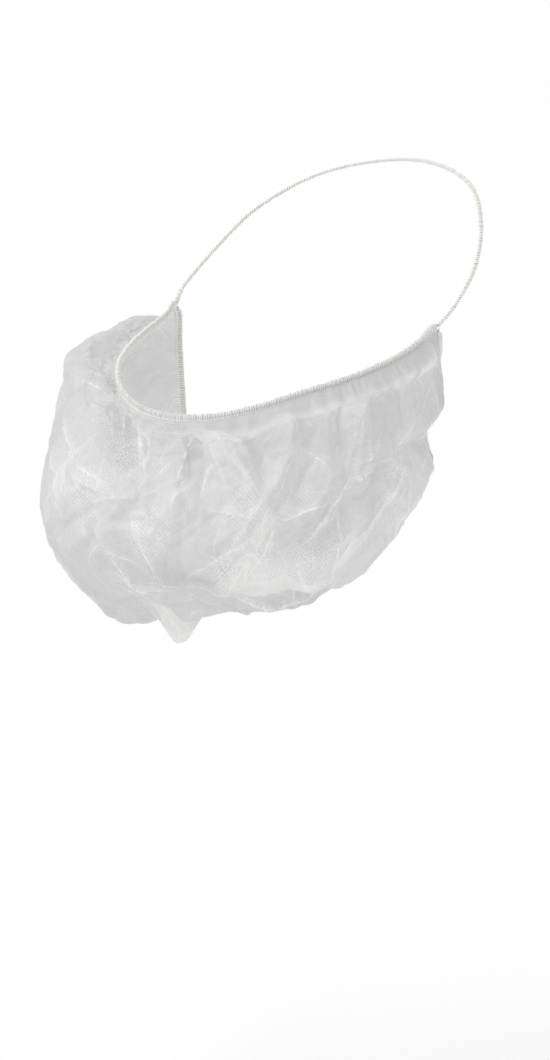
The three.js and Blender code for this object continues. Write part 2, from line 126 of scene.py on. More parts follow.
# Sharp creases, each a bent line of (across, down) places. The first two values of a row are its
# height in mm and how strongly the doubled fibres along it show.
creaseRows = [
    (0.9, 0.7, [(0.11, 0.18), (0.11, 0.3), (0.11, 0.39)]),
    (0.7, 0.8, [(0.17, 0.32), (0.16, 0.38)]),
    (0.9, 0.3, [(0.12, 0.14), (0.17, 0.3), (0.24, 0.42)]),
    (1.2, 0.32, [(0.13, 0.12), (0.2, 0.31), (0.25, 0.36), (0.3, 0.43)]),
    (0.9, 0.6, [(-0.08, 0.1), (-0.01, 0.27), (0.03, 0.35)]),
    (0.6, 0.5, [(0.08, 0.31), (0.05, 0.35)]),
    (0.7, 0.6, [(0.14, 0.36), (0.11, 0.4), (0.11, 0.43)]),
    (1.0, 0.4, [(0.34, 0.16), (0.36, 0.29), (0.37, 0.34)]),
    (1.0, 0.4, [(0.37, 0.34), (0.34, 0.36), (0.33, 0.39), (0.31, 0.43)]),
    (0.8, 0.3, [(0.37, 0.35), (0.35, 0.41), (0.34, 0.44)]),
    (0.8, 0.6, [(0.38, 0.34), (0.4, 0.35), (0.44, 0.38)]),
    (0.9, 0.4, [(0.41, 0.12), (0.43, 0.21), (0.45, 0.26), (0.47, 0.33)]),
    (0.6, 0.5, [(0.38, 0.26), (0.4, 0.29)]),
    (1.0, 0.8, [(0.5, 0.39), (0.55, 0.39), (0.59, 0.37), (0.59, 0.33)]),
    (0.9, 0.7, [(0.49, 0.41), (0.52, 0.42), (0.56, 0.41)]),
    (1.3, 1.5, [(0.49, 0.41), (0.47, 0.43), (0.42, 0.48), (0.37, 0.53), (0.35, 0.56)]),
    (1.2, 0.9, [(0.76, 0.35), (0.7, 0.41), (0.67, 0.46), (0.61, 0.48), (0.53, 0.57), (0.5, 0.65)]),
    (0.9, 0.7, [(0.73, 0.4), (0.64, 0.5), (0.56, 0.6)]),
    (0.7, 0.6, [(0.6, 0.43), (0.65, 0.44), (0.68, 0.42)]),
    (-0.8, 0.2, [(0.64, 0.33), (0.7, 0.3)]),
    (1.0, 0.8, [(0.3, 0.44), (0.34, 0.46), (0.38, 0.45), (0.45, 0.44)]),
    (1.5, 1.0, [(0.3, 0.43), (0.29, 0.48), (0.28, 0.53), (0.23, 0.59), (0.19, 0.64)]),
    (1.2, 0.9, [(0.31, 0.44), (0.32, 0.48), (0.3, 0.53), (0.25, 0.62)]),
    (1.2, 1.4, [(0.27, 0.49), (0.19, 0.55), (0.13, 0.59)]),
    (1.2, 0.8, [(0.46, 0.44), (0.48, 0.57), (0.49, 0.66)]),
    (1.0, 0.7, [(-0.03, 0.51), (-0.02, 0.57), (-0.01, 0.61), (0.02, 0.67)]),
    (0.9, 0.6, [(0.04, 0.47), (0.05, 0.53), (0.06, 0.6)]),
    (0.9, 0.6, [(0.0, 0.6), (0.11, 0.61), (0.22, 0.63)]),
    (1.6, 1.0, [(0.2, 0.65), (0.31, 0.69), (0.42, 0.69), (0.5, 0.68)]),
    (0.7, 0.45, [(-0.15, 0.36), (-0.04, 0.38)]),
    (0.7, 0.4, [(-0.17, 0.38), (-0.04, 0.4)]),
    (0.8, 0.5, [(-0.06, 0.47), (-0.02, 0.53), (0.04, 0.58), (0.08, 0.6)]),
    (0.7, 0.4, [(-0.2, 0.36), (-0.1, 0.42), (0.02, 0.4), (0.1, 0.36)]),
    (0.7, 0.5, [(-0.13, 0.45), (-0.1, 0.52)]),
    (0.9, 0.6, [(-0.04, 0.51), (-0.13, 0.57)]),
    (0.7, 0.5, [(0.18, 0.42), (0.28, 0.45)]),
    (0.7, 0.5, [(0.21, 0.24), (0.26, 0.33)]),
    (1.0, 0.5, [(-0.17, 0.14), (-0.07, 0.29)]),
    (1.0, 0.5, [(-0.14, 0.1), (-0.05, 0.27)]),
    (0.9, 0.5, [(-0.39, 0.17), (-0.32, 0.07)]),
    (0.9, 0.5, [(-0.35, 0.2), (-0.26, 0.08)]),
    (0.9, 0.5, [(-0.48, 0.3), (-0.33, 0.32), (-0.2, 0.36)]),
    (0.9, 0.5, [(-0.41, 0.35), (-0.24, 0.4), (-0.2, 0.47)]),
    (1.2, 0.7, [(0.38, 0.58), (0.41, 0.66)]),
    (1.4, 0.8, [(0.0, 0.66), (0.02, 0.78), (0.05, 0.9)]),
    (1.2, 0.7, [(-0.1, 0.7), (0.0, 0.75), (0.12, 0.72)]),
    (1.1, 0.6, [(-0.62, 0.14), (-0.58, 0.34), (-0.66, 0.52)]),
    (1.0, 0.6, [(-0.82, 0.2), (-0.76, 0.44), (-0.6, 0.6)]),
    (1.0, 0.6, [(-0.54, 0.46), (-0.4, 0.6), (-0.3, 0.78)]),
    (0.9, 0.6, [(-0.9, 0.3), (-0.84, 0.55), (-0.86, 0.75)]),
    (1.0, 0.6, [(0.86, 0.18), (0.82, 0.4), (0.88, 0.62)]),
    (1.0, 0.6, [(0.72, 0.6), (0.6, 0.74), (0.62, 0.9)]),
]

# Places where the cloth lies double. from and to: the wedge's two ends; half widths at the ends in mm;
# share: how much denser than one layer, or thinner below 0.
doubledColumns = ("fromAcross", "fromDown", "toAcross", "toDown", "fromHalf", "toHalf", "share")
doubledRows = [
    (0.125, 0.1, 0.29, 0.42, 2.2, 3.2, 0.5),
    (0.3, 0.44, 0.29, 0.53, 2.6, 6.0, 0.45),
    (0.3, 0.5, 0.2, 0.63, 2.0, 7.0, 0.55),
    (0.2, 0.63, 0.5, 0.665, 4.5, 4.0, 0.6),
    (0.67, 0.42, 0.5, 0.65, 2.0, 5.0, 0.45),
    (-0.05, 0.1, 0.02, 0.34, 3.5, 2.0, 0.4),
    (0.12, 0.4, 0.15, 0.35, 2.5, 1.0, 0.4),
    (0.11, 0.34, 0.17, 0.42, 1.6, 4.5, 0.35),
    (0.37, 0.33, 0.45, 0.37, 2.8, 1.6, 0.4),
    (-0.02, 0.67, 0.03, 0.8, 5.0, 2.5, 0.5),
    (0.03, 0.42, 0.08, 0.55, 4.0, 5.5, 0.35),
    (0.5, 0.4, 0.72, 0.43, 1.6, 4.0, 0.35),
    (-0.17, 0.37, -0.03, 0.39, 3.0, 2.0, 0.22),
    (-0.36, 0.13, -0.32, 0.02, 3.5, 2.0, 0.5),
    (-0.25, 0.3, -0.2, 0.46, 2.5, 5.0, 0.3),
    (-0.1, 0.6, 0.1, 0.63, 4.0, 3.0, 0.35),
    (0.72, 0.28, 0.76, 0.5, 2.0, 5.0, 0.35),
    (-0.6, 0.2, -0.62, 0.5, 2.0, 4.0, 0.4),
    (-0.82, 0.3, -0.74, 0.6, 2.0, 5.0, 0.4),
    (-0.44, 0.5, -0.36, 0.72, 3.0, 5.0, 0.35),
    (0.84, 0.6, 0.7, 0.72, 3.0, 4.0, 0.35),
    (0.08, 0.17, 0.15, 0.34, 3.0, 5.0, -0.35),
    (0.25, 0.2, 0.33, 0.33, 5.0, 5.5, -0.35),
    (0.39, 0.47, 0.45, 0.58, 5.5, 3.5, -0.3),
    (0.56, 0.22, 0.6, 0.34, 5.0, 4.0, -0.25),
    (-0.13, 0.44, -0.05, 0.5, 4.0, 4.0, -0.25),
]

# Places where the cloth lies bunched in loose layers, or below 0 stretched thin. reach in mm.
looseColumns = ("across", "down", "reachAcross", "reachDown", "share")
looseRows = [
    (0.34, 0.625, 26, 8, 0.85),
    (0.36, 0.73, 34, 7, -0.5),
    (0.27, 0.55, 8, 14, 0.5),
    (0.3, 0.45, 7, 6, 0.4),
    (0.1, 0.42, 13, 12, 0.35),
    (0.06, 0.5, 14, 14, 0.3),
    (-0.16, 0.42, 40, 34, 0.3),
    (-0.3, 0.1, 26, 16, 0.3),
    (0.5, 0.56, 8, 20, 0.35),
    (0.0, 0.74, 16, 12, 0.35),
    (0.4, 0.35, 10, 6, 0.35),
    (-0.62, 0.4, 24, 30, 0.3),
    (0.72, 0.5, 20, 20, 0.3),
    (0.29, 0.27, 18, 14, -0.5),
    (0.42, 0.51, 11, 8, -0.5),
    (0.6, 0.25, 22, 13, -0.4),
    (0.12, 0.27, 9, 14, -0.45),
    (0.5, 0.33, 18, 8, -0.3),
    (-0.06, 0.24, 12, 9, -0.4),
    (0.12, 0.6, 16, 8, -0.3),
    (-0.4, 0.3, 16, 20, -0.3),
]

# Places where the bond dots get a painted highlight, in the same columns, and places where painted shade
# darkens the pits between dense gathers.
dottedRows = [
    (-0.2, 0.35, 10, 3.5, 0.9),
    (-0.125, 0.37, 9, 3.5, 0.9),
    (-0.16, 0.405, 12, 4, 0.6),
    (0.065, 0.48, 8, 12, 1.0),
    (0.25, 0.59, 13, 9, 0.9),
    (0.43, 0.56, 10, 11, 0.75),
    (0.36, 0.47, 6, 5, 0.25),
    (0.105, 0.32, 5, 12, 0.35),
    (0.33, 0.61, 13, 7, 0.8),
    (-0.4, 0.22, 12, 9, 0.6),
    (0.62, 0.5, 10, 12, 0.5),
]
pitShadePlaces = [
    (-0.15, 0.18),
    (-0.125, 0.22),
    (-0.09, 0.26),
    (-0.045, 0.295),
    (-0.345, 0.12),
    (-0.31, 0.07),
]


def columnAt(columns, key, name, at):
    places = np.array(columns[key], float)
    values = np.array(columns[name], float)
    at = np.asarray(at, float)
    low = np.clip(np.searchsorted(places, at, side="right") - 1, 0, len(places) - 2)
    before = np.maximum(low - 1, 0)
    after = np.minimum(low + 2, len(places) - 1)
    span = places[low + 1] - places[low]
    t = np.clip((at - places[low]) / span, 0, 1)
    slopeLow = (values[low + 1] - values[before]) / (places[low + 1] - places[before]) * span
    slopeHigh = (values[after] - values[low]) / (places[after] - places[low]) * span
    return (
        (2 * t**3 - 3 * t**2 + 1) * values[low]
        + (t**3 - 2 * t**2 + t) * slopeLow
        + (3 * t**2 - 2 * t**3) * values[low + 1]
        + (t**3 - t**2) * slopeHigh
    )


def ringReach(angle):
    turn = np.radians(angle)
    long = np.where(np.cos(turn) > 0, ring["front"], ring["back"])
    return 1 / np.hypot(np.sin(turn) / ring["halfBreadth"], np.cos(turn) / long)


def placeAt(angle, reach, height):
    turn = np.radians(angle)
    return np.stack([reach * np.sin(turn), -reach * np.cos(turn), height + 0 * turn], -1)


# The smooth pouch before its folds, in mm.
def smoothPouch(across, down):
    across, down = np.broadcast_arrays(np.asarray(across, float), np.asarray(down, float))
    share = np.abs(across)
    reach = ringReach(share * ring["tipAngle"])
    hemHeight = -ring["hemDip"] * columnAt(faceHemColumns, "angle", "sink", share)
    at = {name: columnAt(stationColumns, "across", name, across) for name in stationColumns}
    puff = pouch["puff"]
    section = {
        "hem": (reach, hemHeight),
        "shoulder": (reach + puff * at["shoulderOut"], hemHeight + puff * at["shoulderUp"]),
        "belly": (reach + puff * at["bellyOut"], -pouch["depth"] * at["bellySink"]),
        "base": (reach * at["baseReach"], -pouch["depth"] * at["baseSink"]),
        "throat": (
            pouch["throatFront"] * columnAt(throatColumns, "angle", "reach", share),
            -pouch["throatDrop"] * columnAt(throatColumns, "angle", "sink", share),
        ),
    }
    knots = np.stack([np.stack(place, -1) for place in section.values()])
    place = 4 * down
    low = np.minimum(np.floor(place).astype(int), 3)
    t = (place - low)[..., None]

    def knot(index):
        chosen = np.broadcast_to(index[None, ..., None], (1, *across.shape, 2))
        return np.take_along_axis(knots, chosen, 0)[0]

    before, first, second = knot(np.maximum(low - 1, 0)), knot(low), knot(low + 1)
    after = knot(np.minimum(low + 2, 4))
    slopeFirst = (second - before) / 2
    slopeSecond = (after - first) / 2
    followed = (
        (2 * first - 2 * second + slopeFirst + slopeSecond) * t**3
        + (3 * second - 3 * first - 2 * slopeFirst - slopeSecond) * t**2
        + slopeFirst * t
        + first
    )
    angle = across * (ring["tipAngle"] + (pouch["throatEndAngle"] - ring["tipAngle"]) * down**2)
    return placeAt(angle, followed[..., 0], followed[..., 1])


def unit(vectors):
    return vectors / np.maximum(np.linalg.norm(vectors, axis=-1, keepdims=True), 1e-9)


def outward(points):
    return unit(np.cross(np.gradient(points, axis=1), np.gradient(points, axis=0)))


# How far each point lies from a bent line, below 0 on one side of it where normals are given, and where
# along the line as a share.
def distanceTo(points, line, normals=None):
    best = np.full(points.shape[:-1], 1e9)
    side = np.ones(points.shape[:-1])
    share = np.zeros(points.shape[:-1])
    lengths = np.linalg.norm(np.diff(line, axis=0), axis=1)
    total = lengths.sum()
    done = 0.0
    for start, end, length in zip(line[:-1], line[1:], lengths):
        step = end - start
        t = np.clip(((points - start) @ step) / (step @ step), 0, 1)
        away = np.linalg.norm(points - start - t[..., None] * step, axis=-1)
        nearer = away < best
        best = np.where(nearer, away, best)
        share = np.where(nearer, (done + t * length) / total, share)
        if normals is not None:
            beside = ((points - start) * np.cross(normals, step)).sum(-1)
            side = np.where(nearer, np.where(beside < 0, -1, 1), side)
        done += length
    return best * side, share


# A line on the smooth pouch through the given places, followed closely.
def lineOnPouch(places, steps=6):
    places = np.array(places, float)
    path = [places[0]]
    for start, end in zip(places[:-1], places[1:]):
        path += [start + (end - start) * (k + 1) / steps for k in range(steps)]
    path = np.array(path)
    return smoothPouch(path[:, 0], path[:, 1])


# The broad folds have flat flanks. The tallest crest and the deepest dent win, so flanks meet in edges.
def broadFolds(points):
    crest = np.zeros(points.shape[:-1])
    dent = np.zeros(points.shape[:-1])
    for row in foldRows:
        fold = dict(zip(foldColumns, row))
        line = lineOnPouch([(fold["fromAcross"], fold["fromDown"]), (fold["toAcross"], fold["toDown"])])
        away, _ = distanceTo(points, line)
        height = fold["height"] * np.maximum(0, 1 - away / fold["width"])
        crest = np.maximum(crest, height)
        dent = np.minimum(dent, height)
    return crest + dent


# Crumpling: many short straight crests and dents with flat flanks, so that the cloth breaks into facets.
def crumple(points, count, size, height, seed):
    dice = np.random.default_rng(seed)
    total = np.zeros(points.shape[:-1])
    for _ in range(count):
        middle = np.array([dice.uniform(-0.97, 0.97), dice.uniform(0.08, 0.95)])
        turn = dice.uniform(0, math.pi)
        length = size * dice.uniform(0.6, 1.8)
        step = np.array([math.cos(turn) * length / 165, math.sin(turn) * length / 180])
        line = lineOnPouch([middle - step / 2, middle + step / 2], 3)
        away, _ = distanceTo(points, line)
        width = size * dice.uniform(0.3, 0.6)
        rise = height * dice.uniform(0.4, 1.0) * dice.choice([-1, 1, 1])
        total += rise * np.maximum(0, 1 - away / width)
    return total


# Ruffles that start at an edge of the cloth and have faded out at a share of the way across it.
def gathers(across, down, count, depth, reach, phase):
    near = np.clip(down / reach, 0, 1)
    swell = np.sin(math.pi * np.sqrt(near))
    bend = across + 0.02 * np.sin(23 * across + phase) + 0.012 * down * np.sin(31 * across + 2 * phase)
    wave = np.sin(math.pi * count * bend + 0.9 * np.sin(5.3 * across + phase))
    uneven = 0.6 + 0.4 * np.sin(11 * across + 0.6 + phase) * np.sin(4.3 * across - phase)
    return depth * swell * wave * uneven


def gridOf(cellsAcross, cellsDown):
    acrossLine = np.linspace(-1, 1, cellsAcross + 1)
    return np.meshgrid(acrossLine, np.linspace(0, 1, cellsDown + 1), indexing="ij")


def gridMesh(name, points):
    rows, columns = points.shape[:2]
    index = np.arange(rows * columns).reshape(rows, columns)
    faces = np.stack([index[:-1, :-1], index[:-1, 1:], index[1:, 1:], index[1:, :-1]], -1).reshape(-1, 4)
    mesh = bpy.data.meshes.new(name)
    mesh.from_pydata((points.reshape(-1, 3) * mm).tolist(), [], faces.tolist())
    mesh.update()
    return mesh


def addObject(name, data):
    made = bpy.data.objects.new(name, data)
    scene.collection.objects.link(made)
    return made


# The cloth settles between its hems: it has more length than the room that it hangs in, so it buckles.
# No point moves further than mostMoved, in mm, because the worn cloth stands off and does not sag inward.
def settleCloth(points, held, mostMoved=3.5):
    draft = addObject("clothDraft", gridMesh("clothDraft", points))
    group = draft.vertex_groups.new(name="held")
    levels = np.round(held.ravel(), 2)
    for level in np.unique(levels):
        group.add(np.flatnonzero(levels == level).tolist(), float(level), "REPLACE")
    cloth = draft.modifiers.new("cloth", "CLOTH")
    settings = cloth.settings
    settings.quality = 5
    settings.mass = 0.02
    settings.air_damping = 3
    settings.tension_stiffness = 20
    settings.compression_stiffness = 20
    settings.shear_stiffness = 8
    settings.bending_stiffness = 0.25
    settings.vertex_group_mass = "held"
    settings.pin_stiffness = 2
    settings.shrink_min = -0.03
    settings.use_pressure = True
    settings.uniform_pressure_force = 0.1
    settings.effector_weights.gravity = 0.3
    cloth.collision_settings.use_self_collision = False
    frames = 26
    cloth.point_cache.frame_start = 1
    cloth.point_cache.frame_end = frames
    for number in range(1, frames + 1):
        scene.frame_set(number)
    evaluated = draft.evaluated_get(bpy.context.evaluated_depsgraph_get())
    flat = np.empty(len(evaluated.data.vertices) * 3)
    evaluated.data.vertices.foreach_get("co", flat)
    scene.frame_set(1)
    mesh = draft.data
    bpy.data.objects.remove(draft)
    bpy.data.meshes.remove(mesh)
    moved = flat.reshape(points.shape) / mm - points
    length = np.maximum(np.linalg.norm(moved, axis=-1, keepdims=True), 1e-6)
    return points + moved * mostMoved * np.tanh(length / mostMoved) / length


# Weights that carry a row of values smoothly onto a finer row.
def refineWeights(coarse, fine):
    place = np.linspace(0, coarse - 1, fine)
    low = np.minimum(place.astype(int), coarse - 2)
    t = place - low
    weights = np.zeros((fine, coarse))
    rows = np.arange(fine)
    parts = [
        (-1, -0.5 * t + t**2 - 0.5 * t**3),
        (0, 1 - 2.5 * t**2 + 1.5 * t**3),
        (1, 0.5 * t + 2 * t**2 - 1.5 * t**3),
        (2, -0.5 * t**2 + 0.5 * t**3),
    ]
    for shift, part in parts:
        np.add.at(weights, (rows, np.clip(low + shift, 0, coarse - 1)), part)
    return weights


def refine(grid, rows, columns):
    alongRows = refineWeights(grid.shape[0], rows)
    alongColumns = refineWeights(grid.shape[1], columns)
    return np.einsum("ia,jb,abk->ijk", alongRows, alongColumns, grid, optimize=True)


print("settle the cloth")
draftAcross, draftDown = gridOf(190, 80)
draftPoints = smoothPouch(draftAcross, draftDown)
draftNormals = outward(draftPoints)
fromEdge = np.minimum.reduce(
    [np.ones_like(draftAcross), 12 * draftDown, 12 * (1 - draftDown), 14 * (1 - np.abs(draftAcross))]
)
frontShare = np.clip((draftAcross + 0.32) / 0.2, 0, 1)
foldShare = 1 - frontShare * (1 - np.clip(draftDown / 0.22, 0, 1) ** 1.5)
draftRise = broadFolds(draftPoints) - 0.4 - 1.8 * frontShare
draftRise = foldShare * (draftRise + crumple(draftPoints, count=70, size=30, height=1.2, seed=5))
draftRise += gathers(draftAcross, draftDown, count=27, depth=0.45, reach=0.25, phase=1.7)
draftRise += gathers(draftAcross, 1 - draftDown, count=21, depth=1.4, reach=0.3, phase=0.4)
# Between its crests the cloth lies a little inside the smooth pouch, more so over the chin and the left.
shaped = draftPoints + draftNormals * (fromEdge * draftRise)[..., None]
edgeShare = np.minimum.reduce([draftDown * 80, (1 - draftDown) * 80, (1 - np.abs(draftAcross)) * 95])
held = np.where(edgeShare < 0.5, 1.0, np.where(edgeShare < 1.5, 0.6, np.where(edgeShare < 2.5, 0.25, 0.08)))
settled = settleCloth(shaped, held)

print("refine the cloth")
cellsAcross, cellsDown = ((480, 196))
across, down = gridOf(cellsAcross, cellsDown)
cloth = refine(settled, cellsAcross + 1, cellsDown + 1)
smooth = smoothPouch(across, down)
smoothNormals = outward(smooth)
farOff = 9.0  # a distance past all that the material shows
layerEdge = np.full_like(across, -farOff)
layerShare = np.zeros_like(across)
creases = {
    "rise": np.zeros_like(across),
    "away": np.full_like(across, farOff),
    "share": np.zeros_like(across),
}


# Adds one crease: a narrow ridge in the cloth, and a line of doubled fibres for the material to show.
def addCrease(height, strength, half, foot, places, steps):
    away, share = distanceTo(smooth, lineOnPouch(places, steps), smoothNormals)
    ends = np.sqrt(np.sin(math.pi * np.clip(share, 0.03, 0.97)))
    creases["rise"] += height * ends * np.maximum(0, 1 - np.abs(away) / foot) ** 1.2
    away = np.clip(away / half, -farOff, farOff)
    nearer = np.abs(away) < np.abs(creases["away"])
    shown = strength * ends * (np.abs(away) < farOff - 0.1)
    creases["away"] = np.where(nearer, away, creases["away"])
    creases["share"] = np.where(nearer, shown, creases["share"])


for height, strength, places in creaseRows:
    addCrease(height, strength, 0.3 + 0.16 * strength, 2.0 + 1.4 * abs(height), places, 5)

# Small creases: some lie anyhow, some fan out from the places where the cloth is pinched.
pinches = [
    (0.12, 0.16),
    (0.3, 0.44),
    (0.49, 0.41),
    (0.2, 0.64),
    (0.0, 0.68),
    (-0.13, 0.2),
    (-0.4, 0.1),
    (0.7, 0.42),
]
unitSpan = np.array([pouchSpan["across"], pouchSpan["down"]])
dice = np.random.default_rng(23)
for number in range(150):
    if number % 5 < 3:
        start = np.array([dice.uniform(-0.97, 0.97), dice.uniform(0.06, 0.94)])
        turn = dice.uniform(0, math.pi)
    else:
        pinch = np.array(pinches[number % len(pinches)])
        turn = dice.uniform(0, 2 * math.pi)
        start = pinch + dice.uniform(0.01, 0.05) * np.array([math.cos(turn), math.sin(turn)])
    length = dice.uniform(12, 42)
    bend = dice.uniform(-0.35, 0.35)
    middle = start + 0.5 * length * np.array([math.cos(turn), math.sin(turn)]) / unitSpan
    end = middle + 0.5 * length * np.array([math.cos(turn + bend), math.sin(turn + bend)]) / unitSpan
    places = np.clip([start, middle, end], [-0.98, 0.03], [0.98, 0.97])
    strong = dice.uniform(0.1, 0.42)
    addCrease(dice.choice([-1, 1, 1]) * (0.2 + 0.7 * strong), strong, 0.3 + 0.25 * strong, 2.2, places, 2)


# A row's share, and how far off its place each point lies, squared and as a share of the row's reach.
def spotFrom(row, spanAcross, spanDown):
    spot = dict(zip(looseColumns, row))
    aside = (across - spot["across"]) * spanAcross / spot["reachAcross"]
    below = (down - spot["down"]) * spanDown / spot["reachDown"]
    return spot["share"], aside**2 + below**2


looseAndHemShade = np.zeros_like(across)
# Painted shade: dark dashes at the places where dense gathers crowd.
pitShade = np.zeros_like(across)
for spotAcross, spotDown in pitShadePlaces:
    spotAway = ((across - spotAcross) * 26) ** 2 + ((down - spotDown) * 20) ** 2
    pitShade = np.maximum(pitShade, np.exp(-(spotAway**1.5)))
# Just below the face hem, over the chin and the left, the colour is painted darker: painted shade that
# tones down the pale ridge the light makes on the cloth there.
looseAndHemShade -= 0.85 * np.clip((across + 0.1) / 0.3, 0, 1) * np.exp(-(((down - 0.04) / 0.1) ** 4))
# Painted highlight on the bond dots at these places.
brightDots = np.zeros_like(across)
for row in dottedRows:
    share, offSpot = spotFrom(row, netPiece["halfLength"], netPiece["width"])
    brightDots = np.maximum(brightDots, share * np.exp(-(offSpot**2)))
for row in looseRows:
    share, offSpot = spotFrom(row, pouchSpan["across"], pouchSpan["down"])
    looseAndHemShade += share * np.exp(-offSpot)
rise = creases["rise"]
for row in doubledRows:
    wedge = dict(zip(doubledColumns, row))
    line = lineOnPouch([(wedge["fromAcross"], wedge["fromDown"]), (wedge["toAcross"], wedge["toDown"])])
    away, share = distanceTo(smooth, line)
    inside = wedge["fromHalf"] + (wedge["toHalf"] - wedge["fromHalf"]) * share - away
    inside = np.clip(inside, -farOff, farOff)
    nearer = inside > layerEdge
    layerEdge = np.where(nearer, inside, layerEdge)
    layerShare = np.where(nearer, wedge["share"] * (1 - np.abs(2 * share - 1) ** 3), layerShare)
    rise += 0.3 * np.clip(inside + 0.5, 0, 1)
rise += crumple(smooth, count=160, size=12, height=0.4, seed=8)
rise += gathers(across, down, count=64, depth=0.32, reach=0.12, phase=0.9)
rise += gathers(across, down, count=131, depth=0.3, reach=0.055, phase=2.1)
rise += gathers(across, 1 - down, count=70, depth=0.5, reach=0.12, phase=2.9)
fromSides = 1 - np.abs(across)
nearEdge = np.minimum.reduce([np.ones_like(across), 30 * down, 30 * (1 - down), 40 * fromSides])
cloth = cloth + outward(cloth) * (rise * nearEdge)[..., None]
# The pinched tuft at the bottom comes to a point.
tuft = {"line": [(-0.012, 0.765), (-0.01, 0.78)], "height": 7.3, "foot": 6.6}
tuftAway, _ = distanceTo(smooth, lineOnPouch(tuft["line"]))
tuftRise = tuft["height"] * np.maximum(0, 1 - tuftAway / tuft["foot"]) ** 1.25
cloth += tuftRise[..., None] * smoothNormals


# Where a hem's middle runs beside the cloth's edge, and the direction in the cloth's plane, away from
# the cloth.
def hemLine(edge, inside, normals, radius):
    along = unit(np.gradient(edge, axis=0))
    away = edge - inside
    away = unit(away - (away * along).sum(-1, keepdims=True) * along)
    middle = edge - 0.5 * normals + (radius + seatGap) * away
    return middle, away


steps = 150
rimAcross = np.linspace(-1, 1, 2 * steps + 1)
faceEdge = smoothPouch(rimAcross, 0)
faceNormals = outward(smoothPouch(rimAcross[:, None], np.array([[0, 0.01, 0.02]])))[:, 0]
faceMiddle, faceAway = hemLine(faceEdge, smoothPouch(rimAcross, 0.03), faceNormals, hemRadius["face"])

sideDown = np.array([0, 0.05, *np.linspace(0.1, 1, 62)])


# A side of the throat hem, from the tip, where it meets the face hem, down to the corner.
def sideLine(side, tip):
    near = smoothPouch(side * np.array([[1, 0.99, 0.98]]), sideDown[:, None])
    normals = outward(near)[:, 0] * -side
    middle, away = hemLine(near[:, 0], near[:, 1], normals, hemRadius["throat"])
    middle[0], away[0] = tip + [0, 0.4, -1.6], away[1]
    middle[1] = (middle[0] + middle[2]) / 2
    return middle, away


underAcross = np.linspace(-1, 1, 2 * steps + 1)
underNear = smoothPouch(underAcross[:, None], np.array([[0.98, 0.99, 1]]))
underNormals = outward(underNear)[:, 2]
underMiddle, underAway = hemLine(underNear[:, 2], underNear[:, 1], underNormals, hemRadius["throat"])
rightMiddle, rightAway = sideLine(-1, faceMiddle[0])
leftMiddle, leftAway = sideLine(1, faceMiddle[-1])
throatMiddle = np.concatenate([rightMiddle[:-2], underMiddle[3:-3], leftMiddle[-3::-1]])
throatAway = np.concatenate([rightAway[:-2], underAway[3:-3], leftAway[-3::-1]])


# A line's rows of three values, read at new places along it.
def readAt(places, known, values):
    return np.stack([np.interp(places, known, values[:, k]) for k in range(3)], -1)


# A line's places at an even spacing, the directions there, and its length.
def evenly(points, extra, spacing):
    lengths = np.concatenate([[0], np.cumsum(np.linalg.norm(np.diff(points, axis=0), axis=1))])
    count = max(2, round(lengths[-1] / spacing))
    places = np.linspace(0, lengths[-1], count + 1)
    spread, turned = (readAt(places, lengths, values) for values in (points, extra))
    return spread, unit(turned), lengths[-1]


def softened(values, times):
    for _ in range(times):
        inner = (values[:-2] + 2 * values[1:-1] + values[2:]) / 4
        values = np.concatenate([values[:1], inner, values[-1:]])
    return values


# The loop's line: a centripetal spline through its rows, as in the CAD part.
def splineThrough(knots, stepsEach):
    points = np.vstack([2 * knots[0] - knots[1], knots, 2 * knots[-1] - knots[-2]])
    out = []
    for k in range(1, len(points) - 2):
        p0, p1, p2, p3 = points[k - 1 : k + 3]
        t01, t12, t23 = [max(np.linalg.norm(b - a), 1e-6) ** 0.5 for a, b in ((p0, p1), (p1, p2), (p2, p3))]
        m1 = ((p1 - p0) / t01 - (p2 - p0) / (t01 + t12) + (p2 - p1) / t12) * t12
        m2 = ((p2 - p1) / t12 - (p3 - p1) / (t12 + t23) + (p3 - p2) / t23) * t12
        for t in np.linspace(0, 1, stepsEach, endpoint=False):
            out.append(
                p1 + m1 * t + (3 * p2 - 3 * p1 - 2 * m1 - m2) * t**2 + (2 * p1 - 2 * p2 + m1 + m2) * t**3
            )
    return np.array([*out, points[-2]])


turns = np.array(loopColumns["turn"])
loopAngles = ring["tipAngle"] + (180 - ring["tipAngle"]) * turns
leftHalf = placeAt(
    loopAngles,
    ringReach(loopAngles) * np.array(loopColumns["reach"]) + hemRadius["loop"],
    ring["loopRise"] * np.array(loopColumns["rise"]),
)
rightHalf = leftHalf[:-1][::-1] * [-1, 1, 1]
loopKnots = np.vstack([faceMiddle[-1], leftHalf, rightHalf, faceMiddle[0]])
loopLine = splineThrough(loopKnots, 24)
loopOut = unit(loopLine * [1, 1, 0] + [0, 0, -20])

# The face hem stands upright against the cheeks, and the cloth leaves it at the foot of its stitches.
faceTangent = unit(np.gradient(faceMiddle, axis=0))
faceAway = unit(np.array([0, 0, 1.0]) - faceTangent[:, 2:] * faceTangent)
faceOut = unit(faceMiddle * [1, 1, 0])
faceFoot = faceMiddle - 0.55 * faceAway + 0.95 * faceOut
faceMiddle = faceMiddle + 0.5 * faceAway
fromHem = down * pouchSpan["down"]
dip = 0.8 + 1.8 * np.clip((across + 0.32) / 0.2, 0, 1)
cloth[..., 2] -= dip * np.exp(-fromHem / 12) * (1 - np.exp(-fromHem / 1.6))
# Over the chin and the left cheek the cloth is drawn down straighter from the hem.
drawnReach = 0.3
nearHem = np.clip(down / drawnReach, 0, 1)[..., None]
chord = (1 - nearHem) * smooth[:, :1] + nearHem * smoothPouch(across[:, :1], drawnReach)
drawn = np.clip((across + 0.15) / 0.4, 0, 1) * np.clip((1 - across) / 0.12, 0, 1)
cloth += 0.8 * drawn[..., None] * (1 - nearHem**3) * (chord - smooth)
